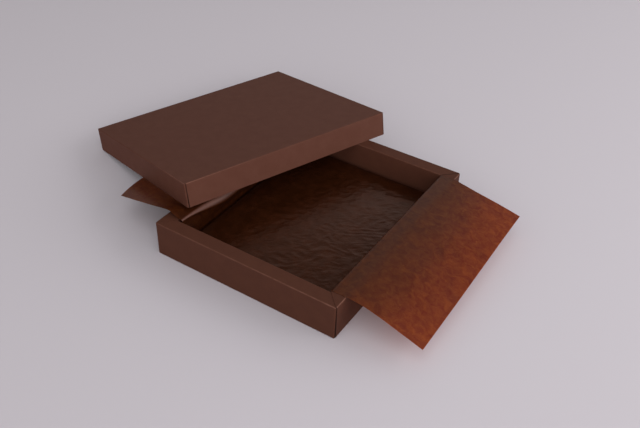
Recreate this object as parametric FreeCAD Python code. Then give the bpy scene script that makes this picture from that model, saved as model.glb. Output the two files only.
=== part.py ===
"""Praline box: a folded card tray with hollow walls, its lift-off card lid leaning half off it,
a paper liner laid across the tray with its two ends hanging out, and a cushion pad on the liner.

Millimetres, +Z up. The origin is the middle of the tray's underside, on the surface that the box
stands on. The tray's short side runs along X, its long side along Y, and its front faces -Y.
"""
import FreeCAD, Part
import math
import os

# Card: both folded blanks are cut from the same board
card = 0.5                # thickness of the board
fold_radius = 0.8         # outside of a creased and folded edge
fold_flats = 4            # flats that round a fold of the lid, and every upright corner fold
corner_gap = 0.7          # between a corner fold and the cut end of the panel over its glue tab
glue_tab = 14.0           # length of a corner's glue tab, behind the side panel

# Tray
tray_width = 150.0        # across, along X
tray_length = 182.0       # along Y
tray_height = 27.5
rim_width = 11.2          # outer face to inner face of the hollow wall
mitre_gap = 0.2           # between the rims, where they meet at a corner
inner_panel_lift = 0.2    # between an inner panel's free edge and the bottom panel

# Lid
lid_height = 19.2         # skirt with the top panel's thickness
lid_ease_side = 0.25      # between the tray and the lid's glue tabs, on each long side
lid_ease_end = 1.0        # between the tray and the lid's skirt, at each end

# Where the lid leans: its near corner stands over the tray's left rim, its far long edge on the floor
lid_turn = -19.7          # degrees about Z, from square with the tray
lid_corner_right = 10.8   # from the tray's left face to the lid's near corner
lid_corner_back = 23.3    # from the tray's front face to the lid's near corner
settling_rounds = 20      # steps in which the lid's tilt is found
twist_spans = 12          # spans each way of the lid's twisted faces

# Liner, a sheet of thin paper
paper = 0.25              # thickness that the crinkled sheet takes up
paper_ease = 0.15         # between the sheet and what it lies on, and what lies on it
liner_end_ease = 1.0      # between the sheet's edges and the tray's inner end walls
liner_fold = 1.2          # radius of the sheet over the rims and along the bottom
left_wing = 44.6          # beyond the tray's left face
right_wing = 55.7         # beyond the tray's right face
right_wing_drop = 11.8    # its tip below the rim
right_wing_level = 8.7    # how far it runs on beyond the tray before it droops
right_wing_bend = 60.0    # radius of that droop

# Pad
pad_ease = 1.2            # to the liner and the end walls, all round
pad_height = 7.0
pad_corner = 3.0          # radius of its corners, seen from above
pad_edge = 2.0            # radius of its upper edge

# Modelling
over = 5.0                # how far a cutting tool runs on past what it cuts
same = 0.01               # two lengths that differ by less are the same


def vector(x, y, z):
    return FreeCAD.Vector(x, y, z)


def block(width, length, bottom, top, at=(0.0, 0.0)):
    """An upright block, centred on a point."""
    corner = vector(at[0] - width / 2, at[1] - length / 2, bottom)
    return Part.makeBox(width, length, top - bottom, corner)


def twisted_block(width, length, bottom, top, rise, half_sizes):
    """A block whose level faces are twisted: each rises at two opposite corners of the lid, which
    lie at half_sizes from its middle, and sinks by as much at the other two."""
    def corner(side_x, side_y):
        x = side_x * width / 2
        y = side_y * length / 2
        return vector(x, y, bottom - rise * (x / half_sizes[0]) * (y / half_sizes[1]))

    corners = [[corner(-1, -1), corner(-1, 1)], [corner(1, -1), corner(1, 1)]]
    face = Part.BSplineSurface()
    face.buildFromPolesMultsKnots(corners, [2, 2], [2, 2], [0, 1], [0, 1], False, False, 1, 1)
    face.increaseDegree(2, 2)
    for step in range(1, twist_spans):
        face.insertUKnot(step / twist_spans, 1, 0)
        face.insertVKnot(step / twist_spans, 1, 0)
    return face.toShape().extrude(vector(0, 0, top - bottom))


def four_corners(width, length):
    """The plan signs and places of a rectangle's corners."""
    return [(sx, sy, sx * width / 2, sy * length / 2) for sx in (-1, 1) for sy in (-1, 1)]


def cut_all(shape, tools):
    for tool in tools:
        shape = shape.cut(tool)
    return shape


def edges_where(shape, test):
    """The edges whose every point passes the test, sampled at both ends and the middle."""
    found = []
    for edge in shape.Edges:
        first, last = edge.ParameterRange
        points = [edge.valueAt(first), edge.valueAt((first + last) / 2), edge.valueAt(last)]
        if all(test(point) for point in points):
            found.append(edge)
    return found


def near(a, b):
    return abs(a - b) < same


def fold_round():
    """A fold's quarter round, in small flats: (along one face, along the other) from their edge."""
    points = []
    for step in range(fold_flats + 1):
        angle = math.pi / 2 * step / fold_flats
        points.append((fold_radius * (1 - math.sin(angle)), fold_radius * (1 - math.cos(angle))))
    return points


def corner_notches(width, length, height):
    """What the side panels leave free at each corner, and the round of the fold that shows there,
    in small flats."""
    notches = []
    for sx, sy, x, y in four_corners(width, length):
        corner_x = x - sx * card
        outline = [(corner_x - sx * inset_x, y - sy * inset_y) for inset_x, inset_y in fold_round()]
        outline.append((corner_x, y - sy * (card + corner_gap)))
        outline.append((x + sx * over, y - sy * (card + corner_gap)))
        outline.append((x + sx * over, y + sy * over))
        outline.append((corner_x - sx * fold_radius, y + sy * over))
        ring = [vector(px, py, -over) for px, py in outline]
        plan = Part.Face(Part.makePolygon(ring + ring[:1]))
        notches.append(plan.extrude(vector(0, 0, height + 2 * over)))
    return notches


def glue_tabs(width, length, bottom, top):
    """The tabs that the end panels turn round the corners, behind the side panels."""
    tabs = []
    for sx, sy, x, y in four_corners(width, length):
        tab = block(card * 2, glue_tab, bottom, top, (x - sx * card, y - sy * glue_tab / 2))
        tabs.append(tab)
    return tabs


# ---------------------------------------------------------------- tray

def make_tray():
    """One folded blank: bottom, outer panels, rims and inner panels, with hollow walls."""
    body = block(tray_width, tray_length, 0, tray_height)

    def top_or_bottom(point):
        return near(point.z, 0) or near(point.z, tray_height)

    body = body.makeFillet(fold_radius, edges_where(body, top_or_bottom))
    body = cut_all(body, corner_notches(tray_width, tray_length, tray_height))

    inside_width = tray_width - 2 * rim_width
    inside_length = tray_length - 2 * rim_width
    body = body.cut(block(inside_width, inside_length, card, tray_height + over))

    def inner_fold(point):
        within_x = abs(point.x) < inside_width / 2 + same
        within_y = abs(point.y) < inside_length / 2 + same
        return near(point.z, tray_height) and within_x and within_y

    body = body.makeFillet(fold_radius, edges_where(body, inner_fold))

    # The hollow of the walls, less the glue tabs
    hollow = block(tray_width - 2 * card, tray_length - 2 * card, card, tray_height - card)
    core = block(inside_width + 2 * card, inside_length + 2 * card, 0, tray_height)
    hollow = hollow.cut(core)
    hollow = cut_all(hollow, glue_tabs(tray_width, tray_length, 0, tray_height))
    body = body.cut(hollow)

    # The inner panels' free lower edges
    lift = block(inside_width + 2 * card, inside_length + 2 * card, card, card + inner_panel_lift)
    body = body.cut(lift)
    return cut_all(body, mitre_cuts(inside_width, inside_length))


def mitre_cuts(inside_width, inside_length):
    """The slits between neighbouring rims, and between the inner panels under them."""
    cuts = []
    for sx, sy, x, y in four_corners(inside_width, inside_length):
        turn = math.degrees(math.atan2(sy, sx))
        for depth, bottom in ((rim_width, tray_height - card), (card, card)):
            run = depth * math.sqrt(2) + 2 * over
            slit = Part.makeBox(run, mitre_gap, tray_height, vector(-over, -mitre_gap / 2, bottom))
            slit.rotate(vector(0, 0, 0), vector(0, 0, 1), turn)
            slit.translate(vector(x, y, 0))
            cuts.append(slit)
    return cuts


# ---------------------------------------------------------------- lid

lid_width = tray_width + 4 * card + 2 * lid_ease_side
lid_length = tray_length + 2 * card + 2 * lid_ease_end


def lid_rest():
    """How the card lid comes to rest. Its far long edge lies on the floor, its near short edge on
    the liner over the tray's left rim, and its near long edge on the tray's back rim, and the
    card twists a little to meet all three. Returns the tilt and the roll in degrees, the twist,
    and the height of its near corner."""
    turn = math.radians(-lid_turn)
    left_rim = tray_height + paper + 2 * paper_ease
    back_rim = tray_height + paper_ease

    # Along the near short edge, from the near corner back to the tray's left face
    reach = lid_corner_right / math.cos(turn)
    tilt = 0.0
    for _ in range(settling_rounds):
        tilt = math.asin((left_rim + reach * math.tan(tilt)) / lid_width)
    near_height = lid_width * math.sin(tilt)

    # Along the near long edge, from the near corner to the tray's back face
    share = (tray_length - lid_corner_back) / math.cos(turn) / lid_length
    far_height = near_height + (back_rim - near_height) / share

    twist = (near_height - far_height) / 4
    mean_tilt = math.asin((near_height + far_height) / 2 / lid_width)
    roll = math.atan(-2 * twist / lid_length)
    return math.degrees(mean_tilt), math.degrees(roll), twist, near_height


def top_fold_bars(halves, twist):
    """What comes off the lid's four top edges to round them. Each edge is straight, but the twist
    slopes it."""
    bars = []
    for sx, sy in ((-1, 0), (1, 0), (0, -1), (0, 1)):
        middle = vector(sx * halves[0], sy * halves[1], lid_height)
        along = vector(sy * halves[0], sx * halves[1], -twist)
        inward = vector(-sx, -sy, 0)
        ends = along * (1 + over / along.Length)
        outline = [(fold_radius, -over)]
        outline += fold_round()
        outline += [(-over, fold_radius), (-over, -over)]
        ring = [middle - ends + inward * inset - vector(0, 0, drop) for inset, drop in outline]
        bars.append(Part.Face(Part.makePolygon(ring + ring[:1])).extrude(ends * 2))
    return bars


def make_lid():
    """One folded blank: a top panel with four skirts, open below, as it leans on the tray."""
    tilt, roll, twist, near_height = lid_rest()
    halves = (lid_width / 2, lid_length / 2)
    body = twisted_block(lid_width, lid_length, 0, lid_height, twist, halves)
    body = cut_all(body, top_fold_bars(halves, twist))
    body = cut_all(body, corner_notches(lid_width, lid_length, lid_height))

    hollow = twisted_block(lid_width - 2 * card, lid_length - 2 * card, -over, lid_height - card,
                           twist, halves)
    hollow = cut_all(hollow, glue_tabs(lid_width, lid_length, -2 * over, lid_height + over))
    body = body.cut(hollow)

    # The near corner of the leaning lid is its right front one, (+X, -Y) before it is turned
    near_corner = vector(halves[0], -halves[1], twist)
    turned = FreeCAD.Rotation(vector(0, 0, 1), lid_turn)
    tilted = FreeCAD.Rotation(vector(0, 1, 0), -tilt)
    rolled = FreeCAD.Rotation(vector(1, 0, 0), roll)
    attitude = turned.multiply(tilted).multiply(rolled)
    place = vector(lid_corner_right - tray_width / 2, lid_corner_back - tray_length / 2, near_height)
    body.Placement = FreeCAD.Placement(place - attitude.multVec(near_corner), attitude)
    lowest = min(vertex.Z for vertex in body.Vertexes)
    body.translate(vector(0, 0, -lowest))
    return body


# ---------------------------------------------------------------- liner and pad

def rounded_path(points):
    """Edges through (x, z, radius) points, in the plane Y = 0, rounded at each inner point."""
    edges = []
    start = vector(points[0][0], 0, points[0][1])
    for before, here, after in zip(points, points[1:], points[2:]):
        corner = vector(here[0], 0, here[1])
        back = (vector(before[0], 0, before[1]) - corner).normalize()
        ahead = (vector(after[0], 0, after[1]) - corner).normalize()
        half_angle = back.getAngle(ahead) / 2
        cut_back = here[2] / math.tan(half_angle)
        middle = (back + ahead).normalize()
        crown = corner + middle * (here[2] / math.sin(half_angle) - here[2])
        arc_start = corner + back * cut_back
        arc_end = corner + ahead * cut_back
        edges.append(Part.LineSegment(start, arc_start).toShape())
        edges.append(Part.Arc(arc_start, crown, arc_end).toShape())
        start = arc_end
    end = vector(points[-1][0], 0, points[-1][1])
    edges.append(Part.LineSegment(start, end).toShape())
    return edges


def raised_path(points, rise):
    """The same path, moved by rise to its left, which is up where the path runs to the right."""
    raised = []
    last = len(points) - 1
    for index, (x, z, radius) in enumerate(points):
        before = points[max(index - 1, 0)]
        after = points[min(index + 1, last)]
        into = vector(x - before[0], 0, z - before[1])
        out = vector(after[0] - x, 0, after[1] - z)
        into = out if index == 0 else into
        out = into if index == last else out
        into.normalize()
        out.normalize()
        normal_in = vector(-into.z, 0, into.x)
        normal_out = vector(-out.z, 0, out.x)
        middle = (normal_in + normal_out).normalize()
        shift = middle * (rise / middle.dot(normal_in))
        turns_left = into.x * out.z - into.z * out.x > 0
        raised.append((x + shift.x, z + shift.z, radius - rise if turns_left else radius + rise))
    return raised


def make_liner():
    """One sheet: up both long walls, over the rims and out, the left end under the lid."""
    floor = card + paper_ease
    wall = tray_width / 2 - rim_width - paper_ease
    rim = tray_height + paper_ease
    face = tray_width / 2

    # The left wing lies along the lid's near short edge, which comes down to the floor
    turn = math.radians(-lid_turn)
    tilt, _, _, near_height = lid_rest()
    lid_slope = near_height / (lid_width * math.cos(math.radians(tilt)) * math.cos(turn))
    left_tip = rim - lid_slope * left_wing

    path = [
        (-face - left_wing, left_tip, 0),
        (-face, rim, liner_fold),
        (-wall, rim, liner_fold),
        (-wall, floor, liner_fold),
        (wall, floor, liner_fold),
        (wall, rim, liner_fold),
        (face + right_wing_level, rim, right_wing_bend),
        (face + right_wing, rim - right_wing_drop, 0),
    ]
    lower = rounded_path(path)
    upper = rounded_path(raised_path(path, paper))
    ends = []
    for index in (0, -1):
        below = lower[index].Vertexes[index].Point
        above = upper[index].Vertexes[index].Point
        ends.append(Part.LineSegment(below, above).toShape())
    outline = Part.Wire(Part.__sortEdges__(lower + upper + ends))
    length = tray_length - 2 * rim_width - 2 * liner_end_ease
    sheet = Part.Face(outline).extrude(vector(0, length, 0))
    sheet.translate(vector(0, -length / 2, 0))
    return sheet


def make_pad():
    """A flat cushion with rounded edges, on the liner's bottom stretch."""
    bottom = card + paper + 2 * paper_ease
    width = tray_width - 2 * (rim_width + paper_ease + paper + pad_ease)
    length = tray_length - 2 * (rim_width + pad_ease)
    body = block(width, length, bottom, bottom + pad_height)

    def upright(point):
        return near(abs(point.x), width / 2) and near(abs(point.y), length / 2)

    body = body.makeFillet(pad_corner, edges_where(body, upright))
    top = bottom + pad_height
    return body.makeFillet(pad_edge, edges_where(body, lambda point: near(point.z, top)))


def main():
    os.makedirs("parts", exist_ok=True)
    pieces = {"tray": make_tray(), "lid": make_lid(), "liner": make_liner(), "pad": make_pad()}
    for name, shape in pieces.items():
        print(name, "valid:", shape.isValid(), "solids:", len(shape.Solids), "mm3:", round(shape.Volume, 1))
        shape.exportStep("parts/" + name + ".step")


main()
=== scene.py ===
"""Praline box, open, with its lid leaning half off it.

Metres, +Z up. The origin is the middle of the tray's underside, on the surface that the box stands
on. The tray's short side runs along X, its long side along Y, and its front faces -Y.
The tray and the lid keep their modelled shapes and get the finish of dyed folding board. The paper
liner and the crinkled pad are made here.
"""

import math

import bpy
from bpy.props import FloatProperty, FloatVectorProperty, PointerProperty
from mathutils import Matrix, Vector, noise


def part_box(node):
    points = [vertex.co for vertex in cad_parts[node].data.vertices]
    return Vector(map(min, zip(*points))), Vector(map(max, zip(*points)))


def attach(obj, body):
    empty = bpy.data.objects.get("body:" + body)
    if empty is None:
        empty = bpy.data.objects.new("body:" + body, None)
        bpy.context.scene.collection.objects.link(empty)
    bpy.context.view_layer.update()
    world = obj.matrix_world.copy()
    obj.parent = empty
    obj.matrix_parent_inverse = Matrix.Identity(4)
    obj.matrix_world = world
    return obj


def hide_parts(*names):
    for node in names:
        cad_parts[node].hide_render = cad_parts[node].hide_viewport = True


bl_info = {
    "name": "Praline Box",
    "version": (1, 0, 0),
    "blender": (4, 5, 0),
    "location": "View3D > Sidebar > Praline Box",
    "description": "Finishes a folded card box with a glassine liner and a crinkled pad",
    "category": "Object",
}

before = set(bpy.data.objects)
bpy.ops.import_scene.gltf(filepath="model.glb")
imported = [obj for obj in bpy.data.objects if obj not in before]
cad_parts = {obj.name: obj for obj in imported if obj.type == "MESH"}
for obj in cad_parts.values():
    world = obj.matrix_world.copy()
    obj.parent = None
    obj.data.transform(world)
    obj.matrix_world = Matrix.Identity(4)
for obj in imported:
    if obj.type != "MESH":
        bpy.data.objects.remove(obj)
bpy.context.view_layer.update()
tray_low, tray_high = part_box("tray")
liner_low, liner_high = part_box("liner")
pad_low, pad_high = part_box("pad")
MM = 0.001


def linear(hex_colour):
    """An sRGB hex colour as the linear numbers that Blender's sockets take."""
    parts = [int(hex_colour[i:i + 2], 16) / 255 for i in (1, 3, 5)]
    return tuple(p / 12.92 if p <= 0.04045 else ((p + 0.055) / 1.055) ** 2.4 for p in parts)


def colour_setting(name, description, hex_colour):
    return FloatVectorProperty(name=name, description=description, subtype="COLOR", size=3,
                               min=0.0, max=1.0, default=linear(hex_colour))


def length_setting(name, description, millimetres):
    return FloatProperty(name=name, description=description, subtype="DISTANCE", unit="LENGTH",
                         precision=5, default=millimetres * MM)


def strength_setting(name, description, default):
    return FloatProperty(name=name, description=description, min=0.0, max=3.0, default=default)


# ---------------------------------------------------------------- settings

class BoardSettings(bpy.types.PropertyGroup):
    tray: colour_setting("Tray", "Face of the tray's dyed board", "#47291F")
    tray_cloud: colour_setting("Tray fibre cloud", "Where its fibres lie thicker", "#4B2C21")
    lid: colour_setting("Lid", "Face of the lid's dyed board, a shade lighter", "#523127")
    lid_cloud: colour_setting("Lid fibre cloud", "Where its fibres lie thicker", "#56352B")
    # The crease colour is partly the stretched dyed face and partly a painted highlight, where the rounded
    # fold catches the light
    crease: colour_setting("Crease", "Where a fold has stretched the dyed face", "#7A564A")
    joint: colour_setting("Joint", "Shadow in the joints at the corners", "#20110C")
    rim_width: length_setting("Rim width", "Outer face to inner face of a hollow wall", 11.2)
    crease_width: length_setting("Crease width", "How far the paler line spreads from a fold", 0.8)


class LinerSettings(bpy.types.PropertyGroup):
    face: colour_setting("Face", "What the glassine reflects", "#48220F")
    face_cloud: colour_setting("Face cloud", "Where its fibres lie thinner", "#6F3717")
    through: colour_setting("Through", "Light that has come through it", "#DA701C")
    through_cloud: colour_setting("Through cloud", "The same, where the fibres lie thinner", "#FFB43C")
    # The fold colour is partly creased glassine and partly a painted highlight along the left bend
    fold: colour_setting("Fold", "Where a sharp fold has broken its gloss", "#80564A")
    # The dull colour is a painted sheen, a paler grey-brown mixed into the left wing's face
    dull: colour_setting("Dull", "The left wing, rubbed dull", "#6A3F2E")
    thickness: length_setting("Thickness", "Of the sheet with its slight crinkle", 0.14)
    flutter: length_setting("Flutter", "How far the free wings wave", 0.35)


class PadSettings(bpy.types.PropertyGroup):
    colour: colour_setting("Cover", "Crinkled cover of the pad", "#230E04")
    ridge: colour_setting("Ridge", "Rubbed tops of the crinkles", "#2C1307")
    gloss: colour_setting("Gloss", "Tint of its gloss, part of it from under the brown film", "#FF9E74")
    crown: length_setting("Crown", "How much higher the middle stands than the edges", 0.6)
    rise: length_setting("Rise", "How much higher the back edge stands than the front edge", 1.2)
    crinkle: length_setting("Crinkle", "Height of the larger crinkles", 0.24)


class StageSettings(bpy.types.PropertyGroup):
    floor: colour_setting("Floor", "Seamless paper under the box", "#C1BBC2")
    sky: colour_setting("Surroundings", "Pale tent round the box", "#FFFDFB")
    front: strength_setting("Front light", "Strength of the tent's front, low down", 1.92)
    back: strength_setting("Back light", "Strength of the tent's back, low down", 0.93)
    side: strength_setting("Side light", "Least strength of the tent, at both sides", 0.25)
    high: strength_setting("High light", "Strength of the tent overhead", 0.29)


# ---------------------------------------------------------------- helpers

def add(tree, kind, inputs=None, **settings):
    """Adds a shader node. inputs maps its sockets, by name or number, to a value or to an output.
    In a Mix node, sockets 2 and 3 take its two numbers, and 6 and 7 its two colours, which it gives
    out at output 2."""
    node = tree.nodes.new("ShaderNode" + kind)
    for name, value in settings.items():
        setattr(node, name, value)
    for name, value in (inputs or {}).items():
        if isinstance(value, bpy.types.NodeSocket):
            tree.links.new(value, node.inputs[name])
        else:
            node.inputs[name].default_value = value
    return node


def new_material(name):
    """An empty node material, and its output node."""
    material = bpy.data.materials.new(name)
    material.use_nodes = True
    material.node_tree.nodes.clear()
    return material, add(material.node_tree, "OutputMaterial")


def opaque(colour):
    return (*colour, 1.0)


def paint(piece, material):
    """Gives a piece one material in place of those it has."""
    piece.data.materials.clear()
    piece.data.materials.append(material)


def finish_piece(piece, node, material):
    """Gives a new piece its material and puts it in the place of its CAD node."""
    paint(piece, material)
    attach(piece, "root")
    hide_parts(node)


def only(piece):
    """Selects one object and nothing else."""
    bpy.ops.object.select_all(action="DESELECT")
    piece.select_set(True)
    bpy.context.view_layer.objects.active = piece


def smooth(share):
    """0 to 1 with a level start and end."""
    share = min(max(share, 0.0), 1.0)
    return share * share * (3 - 2 * share)


# ---------------------------------------------------------------- board

# The painted shadow in the upright joints at the corners: how far in from the long sides it shows, how far
# from the short sides the joints' middles are, and half its width at the top and at JOINT_RUN lower down
JOINT_DEPTH = 0.9 * MM
JOINT_INSET = 1.3 * MM
JOINT_TOP = 0.15 * MM
JOINT_LOW = 0.38 * MM
JOINT_RUN = 25 * MM


def local_axes(piece):
    """The frame of a leaning lid, from its mesh: its middle, its turning and its half sizes."""
    mesh = piece.data
    up = Vector()
    for face in mesh.polygons:
        if face.normal.z > 0.9:
            up += face.normal * face.area
    up.normalize()
    across = Vector()
    for face in mesh.polygons:
        if abs(face.normal.dot(up)) < 0.1 and face.normal.x > 0.8:
            across += face.normal * face.area
    across = (across - up * across.dot(up)).normalized()
    along = up.cross(across)
    turning = Matrix((across, along, up)).transposed()
    points = [turning.transposed() @ vertex.co for vertex in mesh.vertices]
    low = Vector([min(p[i] for p in points) for i in range(3)])
    high = Vector([max(p[i] for p in points) for i in range(3)])
    return turning @ ((low + high) / 2), turning, (high - low) / 2


def from_middle(tree, place):
    """How far a point is from a piece's middle, as |x| and |y|, and its height."""
    apart = add(tree, "SeparateXYZ", {0: place})
    size_x = add(tree, "Math", {0: apart.outputs["X"]}, operation="ABSOLUTE")
    size_y = add(tree, "Math", {0: apart.outputs["Y"]}, operation="ABSOLUTE")
    return size_x.outputs[0], size_y.outputs[0], apart.outputs["Z"]


def ring_distance(tree, spot, half_x, half_y, level):
    """How far a point is from a rectangle of folds at one level, in metres."""
    size_x, size_y, height = spot
    out_x = add(tree, "Math", {0: size_x, 1: half_x}, operation="SUBTRACT")
    out_y = add(tree, "Math", {0: size_y, 1: half_y}, operation="SUBTRACT")
    out = add(tree, "Math", {0: out_x.outputs[0], 1: out_y.outputs[0]}, operation="MAXIMUM")
    beside = add(tree, "Math", {0: out.outputs[0]}, operation="ABSOLUTE")
    above = add(tree, "Math", {0: height, 1: level}, operation="SUBTRACT")
    off_level = add(tree, "Math", {0: above.outputs[0]}, operation="ABSOLUTE")
    return add(tree, "Math", {0: beside.outputs[0], 1: off_level.outputs[0]}, operation="MAXIMUM").outputs[0]


def seam_shadow_share(tree, spot, ring):
    """1 in the upright joint at each corner, which is on the box's long sides, else 0: where the joint's
    shadow is painted.
    The joint opens towards its lower end."""
    size_x, size_y, height = spot
    half_x, half_y, level = ring[:3]
    on_side = add(tree, "Math", {0: size_x, 1: half_x - JOINT_DEPTH}, operation="GREATER_THAN")
    from_joint = add(tree, "Math", {0: size_y, 1: half_y - JOINT_INSET}, operation="SUBTRACT")
    beside = add(tree, "Math", {0: from_joint.outputs[0]}, operation="ABSOLUTE")
    opening = add(tree, "MapRange", {"Value": height, "From Min": level, "From Max": level - JOINT_RUN,
                                     "To Min": JOINT_TOP, "To Max": JOINT_LOW})
    edge = add(tree, "Math", {0: opening.outputs[0], 1: beside.outputs[0]}, operation="SUBTRACT")
    inside = add(tree, "MapRange", {"Value": edge.outputs[0], "From Min": -0.1 * MM, "From Max": 0.15 * MM})
    return add(tree, "Math", {0: inside.outputs[0], 1: on_side.outputs[0]}, operation="MULTIPLY").outputs[0]


def mitre_shadow_share(tree, place, spot, ring, rim):
    """How much shadow is painted in the mitres on the rim: the one at the far right stands open, the others
    are tight."""
    size_x, size_y, height = spot
    half_x, half_y, level = ring[:3]
    in_x = add(tree, "Math", {0: size_x, 1: half_x - rim}, operation="SUBTRACT")
    in_y = add(tree, "Math", {0: size_y, 1: half_y - rim}, operation="SUBTRACT")
    off = add(tree, "Math", {0: in_x.outputs[0], 1: in_y.outputs[0]}, operation="SUBTRACT")
    beside = add(tree, "Math", {0: off.outputs[0]}, operation="ABSOLUTE")
    line = add(tree, "MapRange", {"Value": beside.outputs[0], "From Min": 0.6 * MM, "From Max": 0.3 * MM})
    on_rim = add(tree, "Math", {0: height, 1: level - 0.8 * MM}, operation="GREATER_THAN")
    corner = add(tree, "Math", {0: in_x.outputs[0], 1: in_y.outputs[0]}, operation="MINIMUM")
    past = add(tree, "Math", {0: corner.outputs[0], 1: 0.0}, operation="GREATER_THAN")
    # x and y together are over 140 mm only at the far right
    apart = add(tree, "SeparateXYZ", {0: place})
    sum_xy = add(tree, "Math", {0: apart.outputs["X"], 1: apart.outputs["Y"]}, operation="ADD")
    open_share = add(tree, "MapRange", {"Value": sum_xy.outputs[0], "From Min": 100 * MM,
                                        "From Max": 140 * MM, "To Max": 0.9})
    both = add(tree, "Math", {0: line.outputs[0], 1: on_rim.outputs[0]}, operation="MULTIPLY")
    here = add(tree, "Math", {0: both.outputs[0], 1: past.outputs[0]}, operation="MULTIPLY")
    return add(tree, "Math", {0: here.outputs[0], 1: open_share.outputs[0]}, operation="MULTIPLY").outputs[0]


def board_material(name, settings, colours, middle, turning, rings, mitred):
    """Dyed folding board, calendered and uncoated: matt, with a faint cloud of fibres and a soft
    tooth, and a little paler along its creases, partly where the fold has stretched the dyed face and partly
    as a painted highlight where the rounded fold catches the light."""
    material, output = new_material(name)
    tree = material.node_tree
    object_place = add(tree, "TexCoord").outputs["Object"]
    place = add(tree, "Mapping", {"Vector": object_place, "Location": middle,
                                  "Rotation": turning.to_euler()}, vector_type="TEXTURE").outputs[0]
    spot = from_middle(tree, place)

    # Clouds 9 mm across, and fibres 0.35 mm across, which is as fine as shows
    cloud = add(tree, "TexNoise", {"Vector": place, "Scale": 1 / (9 * MM), "Detail": 4.0, "Roughness": 0.6})
    fibre = add(tree, "TexNoise", {"Vector": place, "Scale": 1 / (0.35 * MM), "Detail": 3.0,
                                   "Roughness": 0.7})
    cloud_share = add(tree, "MapRange", {"Value": cloud.outputs["Fac"], "From Min": 0.35, "From Max": 0.7})
    face = add(tree, "Mix", {"Factor": cloud_share.outputs[0], 6: opaque(colours[0]),
                             7: opaque(colours[1])}, data_type="RGBA")

    # The creases, paler in patches 5 mm across and more so towards the right, the side the lamps light:
    # partly wear, partly a painted highlight where the rounded fold catches the light
    most = 0.0
    for half_x, half_y, level, depth in rings:
        crease = add(tree, "MapRange", {"Value": ring_distance(tree, spot, half_x, half_y, level),
                                        "From Min": settings.crease_width,
                                        "From Max": settings.crease_width * 0.3, "To Max": depth},
                     interpolation_type="SMOOTHSTEP")
        most = add(tree, "Math", {0: most, 1: crease.outputs[0]}, operation="MAXIMUM").outputs[0]
    rubbed = add(tree, "TexNoise", {"Vector": place, "Scale": 1 / (5 * MM), "Detail": 3.0})
    strength = add(tree, "MapRange", {"Value": rubbed.outputs["Fac"], "From Min": 0.3, "From Max": 0.65,
                                      "To Min": 0.3, "To Max": 1.0})
    lit_side = add(tree, "MapRange", {"Value": add(tree, "SeparateXYZ", {0: place}).outputs["X"],
                                         "From Min": -70 * MM, "From Max": 70 * MM, "To Min": 0.3})
    wear_and_highlight = add(tree, "Math", {0: strength.outputs[0], 1: lit_side.outputs[0]}, operation="MULTIPLY")
    crease_wear_and_highlight = add(tree, "Math", {0: most, 1: wear_and_highlight.outputs[0]}, operation="MULTIPLY")
    colour = add(tree, "Mix", {"Factor": crease_wear_and_highlight.outputs[0], 6: face.outputs[2],
                               7: opaque(settings.crease)}, data_type="RGBA")

    # The painted shadow in the joints at the corners and in the mitres
    dark = seam_shadow_share(tree, spot, rings[0])
    if mitred:
        mitre = mitre_shadow_share(tree, place, spot, rings[0], settings.rim_width)
        dark = add(tree, "Math", {0: dark, 1: mitre}, operation="MAXIMUM").outputs[0]
    colour = add(tree, "Mix", {"Factor": dark, 6: colour.outputs[2], 7: opaque(settings.joint)},
                 data_type="RGBA")

    tooth = add(tree, "Bump", {"Height": fibre.outputs["Fac"], "Strength": 0.35, "Distance": 0.06 * MM})
    rough = add(tree, "MapRange", {"Value": fibre.outputs["Fac"], "To Min": 0.58, "To Max": 0.72})
    shader = add(tree, "BsdfPrincipled", {"Base Color": colour.outputs[2], "Roughness": rough.outputs[0],
                                          "Normal": tooth.outputs[0], "IOR": 1.45,
                                          "Specular IOR Level": 0.09})
    tree.links.new(shader.outputs[0], output.inputs["Surface"])
    return material


class PRALINEBOX_OT_finish_board(bpy.types.Operator):
    """Gives the folded tray and the leaning lid the finish of dyed board"""
    bl_idname = "praline_box.finish_board"
    bl_label = "Finish the board"

    def execute(self, context):
        settings = context.scene.praline_board
        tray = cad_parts["tray"]
        half = (tray_high - tray_low) / 2
        rim = settings.rim_width
        level = tray_high.z
        # Rectangles of folds, each as half its sizes, its level and how pale its crease line is, partly from
        # wear and partly painted highlight
        rings = [(half.x, half.y, level, 0.7), (half.x - rim, half.y - rim, level, 0.25),
                 (half.x, half.y, 0.0, 0.3)]
        tray_board = board_material("tray folding board", settings, (settings.tray, settings.tray_cloud),
                                    Vector(), Matrix.Identity(3), rings, True)
        paint(tray, tray_board)

        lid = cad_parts["lid"]
        middle, turning, half = local_axes(lid)
        rings = [(half.x, half.y, half.z, 0.6)]
        lid_board = board_material("lid folding board", settings, (settings.lid, settings.lid_cloud),
                                   middle, turning, rings, False)
        paint(lid, lid_board)
        return {"FINISHED"}


# ---------------------------------------------------------------- liner

# The sheet's line across the box, as (x, z), at its near edge and at its far edge. These lengths,
# down to ON_BOTTOM, are in millimetres
RIGHT_NEAR = [(68.0, 27.65), (73.9, 27.75), (79.1, 27.8), (90.0, 26.0), (99.8, 23.5), (114.5, 19.0),
              (130.9, 13.8)]
RIGHT_FAR = [(68.5, 28.0), (75.8, 28.3), (82.0, 27.3), (90.0, 25.7), (97.3, 24.3), (114.1, 21.1),
             (130.6, 17.6)]
LEFT_NEAR = [(-119.5, 24.6), (-115.8, 25.1), (-105.3, 26.6), (-95.4, 28.2), (-85.6, 29.8), (-77.0, 31.4),
             (-73.0, 31.8), (-69.5, 30.9), (-66.0, 29.1)]
# Its left edge is cut askew, so that the wing is this much longer 35 mm and more from the near edge
LEFT_SKEW = 12.5
SKEW_RUN = 35.0
# Where the left wing leaves the rim
WING_ROOT = -75.0
# Where the lid's near skirt stands on the left wing: (x, y, height) at both ends of that stretch
SKIRT = ((-119.6, -47.8, 18.4), (-64.2, -67.7, 30.4))
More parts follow.
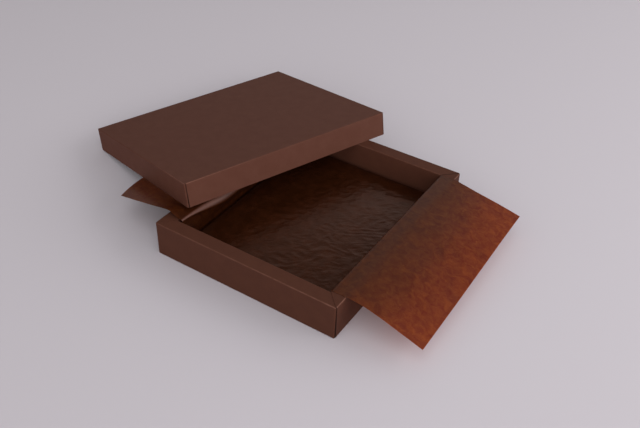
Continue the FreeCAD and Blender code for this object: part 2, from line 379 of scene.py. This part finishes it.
# The sheet's middle stands this far off the skirt and the right wall, and this high on the bottom
CLEAR = 0.35
ON_BOTTOM = 0.78


def liner_wall():
    """Where the sheet stands against the right wall, in millimetres."""
    return (tray_high.x - bpy.context.scene.praline_board.rim_width) / MM - CLEAR


def skirt_at(x):
    """The lid's near skirt over the left wing: its y and its height, in millimetres."""
    (x0, y0, z0), (x1, y1, z1) = SKIRT
    share = (x - x0) / (x1 - x0)
    return y0 + (y1 - y0) * share, z0 + (z1 - z0) * share


def liner_line(y, wall, rim, floor):
    """The sheet's line across the box at one y, as (x, z) points from its left tip to its right
    tip, in millimetres. The lid holds its left wing down behind the skirt, and in front of the
    skirt the paper springs up."""
    near = liner_low.y / MM
    share = smooth((y - near) / (-2 * near))
    points = []
    longer = LEFT_SKEW * min((y - near) / SKEW_RUN, 1.0)
    for x, free in LEFT_NEAR:
        if x < WING_ROOT:
            x += longer * (x - WING_ROOT) / (WING_ROOT - LEFT_NEAR[0][0])
        skirt_y, skirt_z = skirt_at(x)
        held = skirt_z - CLEAR
        if x > WING_ROOT:
            held = min(held, rim + 0.25)
        lift = min(max((skirt_y - y) / (skirt_y - near), 0.0), 1.0)
        points.append((x, held + (free - held) * lift * (1.25 - 0.25 * lift)))
    # The left crease bulges inwards and softens away from the near edge
    soft = smooth((y - near) / 45)
    crease = -60.4 + 6.0 * soft
    bend = 0.9 + 3.4 * soft
    points += [(crease - 1.9 * bend, rim + 0.5), (crease - 0.6 * bend, rim + 0.1), (crease, rim - 0.9 * bend),
               (crease - 0.6 * bend, rim - 2.0 * bend), (-61.2, 12.0), (-62.4, 4.0), (-62.2, 1.4),
               (-61.0, floor), (-40.0, floor), (0.0, floor), (40.0, floor), (wall - 1.6, floor),
               (wall - 0.3, floor + 0.4), (wall, floor + 1.8), (wall, 14.0), (wall, rim - 2.2),
               (wall + 0.3, rim - 0.6), (wall + 1.4, rim + 0.1)]
    for (x0, z0), (x1, z1) in zip(RIGHT_NEAR, RIGHT_FAR):
        points.append((x0 + (x1 - x0) * share, z0 + (z1 - z0) * share))
    return [Vector((x, 0.0, z)) for x, z in points]


def steps_between(points, pitch):
    """How many steps of about pitch each run between two points takes."""
    return [max(2, round((b - a).length / pitch)) for a, b in zip(points, points[1:])]


def spline(points, steps):
    """A centripetal curve through points, with the given number of steps in each run."""
    before = points[0] * 2 - points[1]
    after = points[-1] * 2 - points[-2]
    ends = [before, *points, after]
    curve = []
    for count, a, b, c, d in zip(steps, ends, ends[1:], ends[2:], ends[3:]):
        t1 = max((b - a).length, 1e-6) ** 0.5
        t2 = t1 + max((c - b).length, 1e-6) ** 0.5
        t3 = t2 + max((d - c).length, 1e-6) ** 0.5
        for step in range(count):
            t = t1 + (t2 - t1) * step / count
            ab = a.lerp(b, t / t1)
            bc = b.lerp(c, (t - t1) / (t2 - t1))
            cd = c.lerp(d, (t - t2) / (t3 - t2))
            curve.append(ab.lerp(bc, t / t2).lerp(bc.lerp(cd, (t - t1) / (t3 - t1)), (t - t1) / (t2 - t1)))
    curve.append(points[-1])
    return curve


def glassine_material(settings, flat, fold):
    """Brown glassine, a paper pressed until light shows through: smooth and a little glossy, with
    clouds where its fibres lie thicker, dull brown on dark card and orange-brown against light."""
    material, output = new_material("brown glassine")
    tree = material.node_tree
    uv = add(tree, "TexCoord").outputs["UV"]
    place = add(tree, "Mapping", {"Vector": uv, "Scale": (flat[0], flat[1], 1.0)}).outputs[0]

    # Clouds 12 mm and 5 mm across, and fibres 0.8 mm thick and 2.5 mm long
    wide = add(tree, "TexNoise", {"Vector": place, "Scale": 1 / (12 * MM), "Detail": 3.0, "Distortion": 0.6})
    cloud = add(tree, "TexNoise", {"Vector": place, "Scale": 1 / (5 * MM), "Detail": 4.0, "Roughness": 0.6,
                                   "Distortion": 0.8})
    combed = add(tree, "Mapping", {"Vector": place, "Rotation": (0, 0, 0.5), "Scale": (1.0, 3.0, 1.0)})
    fibre = add(tree, "TexNoise", {"Vector": combed.outputs[0], "Scale": 1 / (2.5 * MM), "Detail": 4.0,
                                   "Roughness": 0.7, "Distortion": 1.2})
    mottle = add(tree, "Mix", {"Factor": 0.8, 2: wide.outputs["Fac"], 3: cloud.outputs["Fac"]})
    mottle = add(tree, "Mix", {"Factor": 0.22, 2: mottle.outputs[0], 3: fibre.outputs["Fac"]})
    cloudy = add(tree, "MapRange", {"Value": mottle.outputs[0], "From Min": 0.36, "From Max": 0.68})
    # A few thin spots 0.9 mm across, about 11 mm apart
    spots = add(tree, "TexVoronoi", {"Vector": place, "Scale": 1 / (7 * MM)}, feature="F1")
    spot = add(tree, "MapRange", {"Value": spots.outputs["Distance"], "From Min": 0.09, "From Max": 0.04})
    chosen = add(tree, "SeparateColor", {0: spots.outputs["Color"]})
    rare = add(tree, "Math", {0: chosen.outputs[0], 1: 0.6}, operation="GREATER_THAN")
    speck = add(tree, "Math", {0: spot.outputs[0], 1: rare.outputs[0]}, operation="MULTIPLY")
    share = add(tree, "Math", {0: cloudy.outputs[0], 1: speck.outputs[0]}, operation="ADD")
    face = add(tree, "Mix", {"Factor": share.outputs[0], 6: opaque(settings.face),
                             7: opaque(settings.face_cloud)}, data_type="RGBA")
    through = add(tree, "Mix", {"Factor": share.outputs[0], 6: opaque(settings.through),
                                7: opaque(settings.through_cloud)}, data_type="RGBA")
    # Painted shade in the light that comes through: it is dimmed to 0.4 over most of the sheet, where the
    # tray shades the floor beneath, to 0.5 on the left wing, in the lid's shade,
    #     and rises across the right wing to full only in its last 20 mm
    along = add(tree, "SeparateXYZ", {0: place}).outputs["X"]
    right = add(tree, "MapRange", {"Value": along, "From Min": flat[0] - 60 * MM,
                                   "From Max": flat[0] - 20 * MM, "To Min": 0.4})
    left = add(tree, "MapRange", {"Value": along, "From Min": fold, "From Max": fold - 50 * MM,
                                  "To Min": 0.2, "To Max": 0.5})
    painted_shade_through = add(tree, "Math", {0: right.outputs[0], 1: left.outputs[0]}, operation="MAXIMUM")
    through = add(tree, "Mix", {0: 1.0, 6: through.outputs[2], 7: painted_shade_through.outputs[0]},
                  data_type="RGBA", blend_type="MULTIPLY")
    # Painted sheen on its left wing: its face is mixed towards a paler grey-brown, up to 0.7 from 40 mm out
    # from the fold
    rubbed = add(tree, "MapRange", {"Value": along, "From Min": fold - 16 * MM, "From Max": fold - 40 * MM,
                                    "To Max": 0.7})
    face = add(tree, "Mix", {"Factor": rubbed.outputs[0], 6: face.outputs[2],
                             7: opaque(settings.dull)}, data_type="RGBA")
    # Painted shade over the left rim, down the left wall and across the left half of the bottom: the face is
    # darkened to 0.52 there, back to full on the left wing's outer part and 30 mm past the middle
    wing = add(tree, "MapRange", {"Value": along, "From Min": fold - 12 * MM, "From Max": fold - 34 * MM,
                                  "To Min": 0.52})
    rest = add(tree, "MapRange", {"Value": along, "From Min": flat[0] / 2, "From Max": flat[0] / 2 + 30 * MM})
    painted_shade_left = add(tree, "Math", {0: wing.outputs[0], 1: rest.outputs[0]}, operation="MAXIMUM")
    face = add(tree, "Mix", {0: 1.0, 6: face.outputs[2], 7: painted_shade_left.outputs[0]},
               data_type="RGBA", blend_type="MULTIPLY")
    # Its left fold is broken, less glossy and paler for up to 5 mm on either side: partly creased glassine,
    # partly a painted highlight along the bend
    past_fold = add(tree, "Math", {0: along, 1: fold + 0.5 * MM}, operation="SUBTRACT")
    off = add(tree, "Math", {0: past_fold.outputs[0]}, operation="ABSOLUTE")
    broken = add(tree, "MapRange", {"Value": off.outputs[0], "From Min": 5.0 * MM, "From Max": 0.5 * MM,
                                    "To Max": 0.8}, interpolation_type="SMOOTHSTEP")
    face = add(tree, "Mix", {"Factor": broken.outputs[0], 6: face.outputs[2],
                             7: opaque(settings.fold)}, data_type="RGBA")

    crinkle = add(tree, "Bump", {"Height": cloud.outputs["Fac"], "Strength": 0.5, "Distance": 0.15 * MM})
    grain = add(tree, "Bump", {"Height": fibre.outputs["Fac"], "Normal": crinkle.outputs[0],
                               "Strength": 0.4, "Distance": 0.05 * MM})
    rough = add(tree, "MapRange", {"Value": fibre.outputs["Fac"], "To Min": 0.24, "To Max": 0.38})
    rough = add(tree, "Mix", {"Factor": broken.outputs[0], 2: rough.outputs[0], 3: 0.6})
    front = add(tree, "BsdfPrincipled", {"Base Color": face.outputs[2], "Roughness": rough.outputs[0],
                                         "Normal": grain.outputs[0], "IOR": 1.5,
                                         "Specular IOR Level": 0.42})
    behind = add(tree, "BsdfTranslucent", {"Color": through.outputs[2], "Normal": grain.outputs[0]})
    both = add(tree, "MixShader", {0: 0.54, 1: front.outputs[0], 2: behind.outputs[0]})
    tree.links.new(both.outputs[0], output.inputs["Surface"])
    return material


class PRALINEBOX_OT_lay_liner(bpy.types.Operator):
    """Lays the glassine across the tray, up both long walls and out over the rims as two wings"""
    bl_idname = "praline_box.lay_liner"
    bl_label = "Lay the liner"

    def execute(self, context):
        settings = context.scene.praline_liner
        pitch = 1.5
        wall = liner_wall()
        # The sheet's middle on a rim, 0.3 mm over the board
        rim = tray_high.z / MM + 0.3
        near, far = liner_low.y / MM, liner_high.y / MM
        rows = round((far - near) / pitch)
        middle = liner_line(0.0, wall, rim, ON_BOTTOM)
        steps = steps_between(middle, pitch)
        middle = spline(middle, steps)
        columns = len(middle) - 1
        length = sum((b - a).length for a, b in zip(middle, middle[1:])) * MM
        # Where along the sheet its left crease is
        fold = length * sum(steps[:len(LEFT_NEAR) + 1]) / columns
        width = (far - near) * MM

        bpy.ops.object.select_all(action="DESELECT")
        bpy.ops.mesh.primitive_grid_add(x_subdivisions=columns, y_subdivisions=rows, size=1.0)
        liner = context.active_object
        liner.name = liner.data.name = "glassine_liner"
        lines = []
        for row in range(rows + 1):
            line = liner_line(near + (far - near) * row / rows, wall, rim, ON_BOTTOM)
            lines.append(spline(line, steps))
        for vertex in liner.data.vertices:
            column = round((vertex.co.x + 0.5) * columns)
            row = round((vertex.co.y + 0.5) * rows)
            point = lines[row][column]
            y = near + (far - near) * row / rows
            vertex.co = Vector((point.x, y, point.z)) * MM
        flutter_wings(liner, settings.flutter)

        only(liner)
        solid = liner.modifiers.new("thickness", "SOLIDIFY")
        solid.thickness = settings.thickness
        solid.offset = 0.0
        bpy.ops.object.modifier_apply(modifier=solid.name)
        bpy.ops.object.shade_smooth_by_angle(angle=math.radians(50))
        finish_piece(liner, "liner", glassine_material(settings, (length, width), fold))
        return {"FINISHED"}


def flutter_wings(liner, height):
    """Gives the free wings shallow waves 45 mm by 33 mm and a crinkle 8 mm by 6 mm, which fade out
    on the rims."""
    for vertex in liner.data.vertices:
        beyond = abs(vertex.co.x) - tray_high.x
        free = smooth(beyond / (18 * MM))
        wave = noise.noise(Vector((vertex.co.x * 22, vertex.co.y * 30, 3.1)))
        crinkle = noise.noise(Vector((vertex.co.x * 130, vertex.co.y * 170, 7.7)))
        vertex.co.z += free * height * (wave + 0.22 * crinkle)


# ---------------------------------------------------------------- pad

PUFF_FRAMES = 20
# Which way its folds run longest, and its folds at three scales: how long and how wide they are in
# millimetres, their share of the height, and a number that sets their pattern apart
FOLDS_RUN = (0.84, 0.54)
FOLDS = ((9, 8, 0.52, 0.0), (10, 3.8, 0.29, 5.2), (5, 2.2, 0.19, 9.6))
# Sets where noise_vector bends the folds, which would follow the clock without it
BEND_SEED = 3


def puff(pad, most):
    """Blows the pad up a little as cloth, holds each point within most of where it was, and keeps
    it flat where it lies."""
    start = [vertex.co.copy() for vertex in pad.data.vertices]
    cloth = pad.modifiers.new("puff", "CLOTH")
    cloth.settings.quality = 6
    cloth.settings.use_pressure = True
    cloth.settings.uniform_pressure_force = 4.0
    cloth.settings.effector_weights.gravity = 0.0
    scene = bpy.context.scene
    for step in range(1, PUFF_FRAMES + 1):
        scene.frame_set(step)
    only(pad)
    bpy.ops.object.modifier_apply(modifier=cloth.name)
    scene.frame_set(1)
    for vertex, place in zip(pad.data.vertices, start):
        move = vertex.co - place
        if move.length > most:
            vertex.co = place + move * (most / move.length)
        vertex.co.z = max(vertex.co.z, pad_low.z)


def crinkled(place):
    """Height of a crushed paper surface at a point, from about 0 to 1: folds at three scales, each
    with sharp ridges between flat facets. The finer ones run longest across the box."""
    at = place + noise.noise_vector(place * 45) * 4 * MM
    along = at.x * FOLDS_RUN[0] + at.y * FOLDS_RUN[1]
    across = at.y * FOLDS_RUN[0] - at.x * FOLDS_RUN[1]
    height = 0.0
    for long, wide, share, seed in FOLDS:
        fold = Vector((along / (long * MM) + seed, across / (wide * MM), at.z / (wide * MM) + seed))
        height += share * (1 - 2.2 * abs(noise.noise(fold)))
    return height


def crinkle(pad, height, crown, rise):
    """Crowns the pad, lifts its back a little and crushes its cover into ridges, less so near its
    underside."""
    noise.seed_set(BEND_SEED)
    half_x = (pad_high.x - pad_low.x) / 2
    half_y = (pad_high.y - pad_low.y) / 2
    normals = [vertex.normal.copy() for vertex in pad.data.vertices]
    for vertex, out in zip(pad.data.vertices, normals):
        above = smooth((vertex.co.z - pad_low.z) / (pad_high.z - pad_low.z) * 1.4 - 0.3)
        inside = smooth(1.6 - 1.6 * max(abs(vertex.co.x) / half_x, abs(vertex.co.y) / half_y))
        vertex.co += out * ((crinkled(vertex.co) - 0.6) * height * above)
        vertex.co.z += (crown * inside + rise * smooth(vertex.co.y / half_y + 1)) * above
        vertex.co.z = max(vertex.co.z, pad_low.z)


def pad_material(settings):
    """Crinkled dark glassine over soft paper layers: nearly black brown with a slight gloss, which
    shows each small ridge as a soft glint."""
    material, output = new_material("crinkled dark glassine")
    tree = material.node_tree
    place = add(tree, "TexCoord").outputs["Object"]
    # Crushed folds 1.8 mm and 0.7 mm apart, finer than the mesh holds
    bend = add(tree, "TexNoise", {"Vector": place, "Scale": 1 / (3 * MM), "Detail": 2.0})
    bent = add(tree, "VectorMath", {0: bend.outputs["Color"], "Scale": 1.2 * MM}, operation="SCALE")
    bent_place = add(tree, "VectorMath", {0: place, 1: bent.outputs[0]}, operation="ADD")
    folds = add(tree, "TexVoronoi", {"Vector": bent_place.outputs[0], "Scale": 1 / (1.8 * MM)},
                feature="DISTANCE_TO_EDGE")
    grain = add(tree, "TexNoise", {"Vector": place, "Scale": 1 / (0.7 * MM), "Detail": 4.0,
                                   "Roughness": 0.65})
    cloud = add(tree, "TexNoise", {"Vector": place, "Scale": 1 / (7 * MM), "Detail": 4.0,
                                   "Distortion": 0.5})
    share = add(tree, "MapRange", {"Value": cloud.outputs["Fac"], "From Min": 0.4, "From Max": 0.7})
    colour = add(tree, "Mix", {"Factor": share.outputs[0], 6: opaque(settings.colour),
                               7: opaque(settings.ridge)}, data_type="RGBA")
    fold_bump = add(tree, "Bump", {"Height": folds.outputs["Distance"], "Strength": 0.2,
                                   "Distance": 0.3 * MM})
    bump = add(tree, "Bump", {"Height": grain.outputs["Fac"], "Normal": fold_bump.outputs[0],
                              "Strength": 0.2, "Distance": 0.1 * MM})
    rough = add(tree, "MapRange", {"Value": grain.outputs["Fac"], "To Min": 0.18, "To Max": 0.3})
    shader = add(tree, "BsdfPrincipled", {"Base Color": colour.outputs[2], "Roughness": rough.outputs[0],
                                          "Normal": bump.outputs[0], "IOR": 1.48,
                                          "Specular IOR Level": 0.46,
                                          "Specular Tint": opaque(settings.gloss)})
    tree.links.new(shader.outputs[0], output.inputs["Surface"])
    return material


class PRALINEBOX_OT_fill_pad(bpy.types.Operator):
    """Makes the cushion pad, puffs it and crushes its cover"""
    bl_idname = "praline_box.fill_pad"
    bl_label = "Fill the pad"

    def execute(self, context):
        settings = context.scene.praline_pad
        size = pad_high - pad_low
        # It starts this much smaller, to have room to puff up
        swell = Vector((1.2, 0.8, 1.2)) * MM
        bpy.ops.object.select_all(action="DESELECT")
        centre = (pad_low + pad_high) / 2
        bpy.ops.mesh.primitive_cube_add(size=1.0, location=centre, scale=size - swell)
        pad = context.active_object
        pad.name = pad.data.name = "crinkled_pad"
        bpy.ops.object.transform_apply(location=True, rotation=False, scale=True)
        bpy.ops.object.mode_set(mode="EDIT")
        bpy.ops.mesh.select_all(action="SELECT")
        bpy.ops.mesh.bevel(offset=1.2 * MM, segments=2, affect="EDGES")
        bpy.ops.object.mode_set(mode="OBJECT")
        pad.data.remesh_voxel_size = 8 / 3 * MM
        bpy.ops.object.voxel_remesh()
        puff(pad, 0.9 * MM)
        only(pad)
        finer = pad.modifiers.new("finer", "SUBSURF")
        finer.levels = finer.render_levels = 2
        bpy.ops.object.modifier_apply(modifier=finer.name)
        crinkle(pad, settings.crinkle, settings.crown, settings.rise)
        bpy.ops.object.shade_smooth()
        finish_piece(pad, "pad", pad_material(settings))
        return {"FINISHED"}


# ---------------------------------------------------------------- stage

# Each softbox's name, its place in metres and its power in watts
SOFTBOXES = [("softbox right", (1.5, 0.15, 0.7), 9.8), ("softbox back right", (1.15, 0.95, 0.75), 8.0),
             ("softbox front right", (1.1, -1.1, 0.75), 8.0), ("softbox above", (0.3, -0.6, 1.7), 6.0)]
SOFTBOX_SIZE = 1.2


def seamless_material(settings):
    """Pale seamless background paper: matt, with a faint tooth."""
    material, output = new_material("seamless paper")
    tree = material.node_tree
    place = add(tree, "TexCoord").outputs["Object"]
    tooth = add(tree, "TexNoise", {"Vector": place, "Scale": 1 / (1.5 * MM), "Detail": 3.0})
    bump = add(tree, "Bump", {"Height": tooth.outputs["Fac"], "Strength": 0.1, "Distance": 0.1 * MM})
    shader = add(tree, "BsdfPrincipled", {"Base Color": opaque(settings.floor), "Roughness": 0.8,
                                          "Normal": bump.outputs[0]})
    tree.links.new(shader.outputs[0], output.inputs["Surface"])
    return material


def softbox(name, place, power):
    """A large square area lamp that faces the box."""
    data = bpy.data.lights.new(name, "AREA")
    data.shape = "SQUARE"
    data.size = SOFTBOX_SIZE
    data.energy = power
    lamp = bpy.data.objects.new(name, data)
    bpy.context.collection.objects.link(lamp)
    lamp.location = place
    lamp.rotation_euler = (-Vector(place)).to_track_quat("-Z", "Y").to_euler()


class PRALINEBOX_OT_set_stage(bpy.types.Operator):
    """Sets the floor, the soft light and the camera"""
    bl_idname = "praline_box.set_stage"
    bl_label = "Set the stage"

    def execute(self, context):
        settings = context.scene.praline_stage
        scene = context.scene
        bpy.ops.object.select_all(action="DESELECT")
        bpy.ops.mesh.primitive_plane_add(size=6.0, location=(0.0, 0.0, -0.05 * MM))
        floor = context.active_object
        floor.name = floor.data.name = "floor"
        paint(floor, seamless_material(settings))

        world = bpy.data.worlds.new("tent")
        world.use_nodes = True
        tree = world.node_tree
        direction = add(tree, "SeparateXYZ", {0: add(tree, "TexCoord").outputs["Generated"]})
        # The tent is dim at both sides, brightest low down at its front and its back, and duller
        # towards its left
        front_most = add(tree, "MapRange", {"Value": direction.outputs["X"], "From Min": -0.6,
                                            "From Max": 0.2, "To Min": 0.5 * settings.front,
                                            "To Max": settings.front})
        front = add(tree, "MapRange", {"Value": direction.outputs["Y"], "From Min": 0.0, "From Max": -1.0,
                                       "To Max": front_most.outputs[0]})
        back_most = add(tree, "MapRange", {"Value": direction.outputs["X"], "From Min": -0.95,
                                           "From Max": -0.6, "To Min": 0.3 * settings.back,
                                           "To Max": settings.back})
        back = add(tree, "MapRange", {"Value": direction.outputs["Y"], "To Max": back_most.outputs[0]})
        walls = add(tree, "Math", {0: front.outputs[0], 1: back.outputs[0]}, operation="ADD")
        walls = add(tree, "Math", {0: walls.outputs[0], 1: settings.side}, operation="MAXIMUM")
        height = add(tree, "MapRange", {"Value": direction.outputs["Z"], "From Min": 0.6, "From Max": 0.78},
                     interpolation_type="SMOOTHSTEP")
        level = add(tree, "Mix", {0: height.outputs[0], 2: walls.outputs[0], 3: settings.high})
        background = tree.nodes["Background"]
        background.inputs["Color"].default_value = opaque(settings.sky)
        tree.links.new(level.outputs[0], background.inputs["Strength"])
        scene.world = world
        for name, place, power in SOFTBOXES:
            softbox(name, place, power)

        # From the front right, looking down at 38 degrees
        data = bpy.data.cameras.new("camera")
        data.lens = 45.0
        data.sensor_width = 36.0
        camera = bpy.data.objects.new("camera", data)
        context.collection.objects.link(camera)
        camera.location = (0.2524, -0.4031, 0.3779)
        camera.rotation_euler = [math.radians(angle) for angle in (52.36, -1.823, 33.003)]
        scene.camera = camera
        scene.view_settings.view_transform = "Standard"
        return {"FINISHED"}


# ---------------------------------------------------------------- add-on

class PRALINEBOX_PT_panel(bpy.types.Panel):
    bl_label = "Praline Box"
    bl_space_type = "VIEW_3D"
    bl_region_type = "UI"
    bl_category = "Praline Box"

    def draw(self, context):
        for name, group, operator in STEPS:
            box = self.layout.box()
            settings = getattr(context.scene, "praline_" + name)
            for key in group.__annotations__:
                box.prop(settings, key)
            box.operator(operator.bl_idname)


STEPS = [("board", BoardSettings, PRALINEBOX_OT_finish_board),
         ("liner", LinerSettings, PRALINEBOX_OT_lay_liner),
         ("pad", PadSettings, PRALINEBOX_OT_fill_pad),
         ("stage", StageSettings, PRALINEBOX_OT_set_stage)]


def register():
    for name, group, operator in STEPS:
        bpy.utils.register_class(group)
        setattr(bpy.types.Scene, "praline_" + name, PointerProperty(type=group))
        bpy.utils.register_class(operator)
    bpy.utils.register_class(PRALINEBOX_PT_panel)


def unregister():
    bpy.utils.unregister_class(PRALINEBOX_PT_panel)
    for name, group, operator in reversed(STEPS):
        bpy.utils.unregister_class(operator)
        delattr(bpy.types.Scene, "praline_" + name)
        bpy.utils.unregister_class(group)


def main():
    register()
    bpy.ops.praline_box.finish_board()
    bpy.ops.praline_box.lay_liner()
    bpy.ops.praline_box.fill_pad()
    bpy.ops.praline_box.set_stage()


if __name__ == "__main__":
    main()
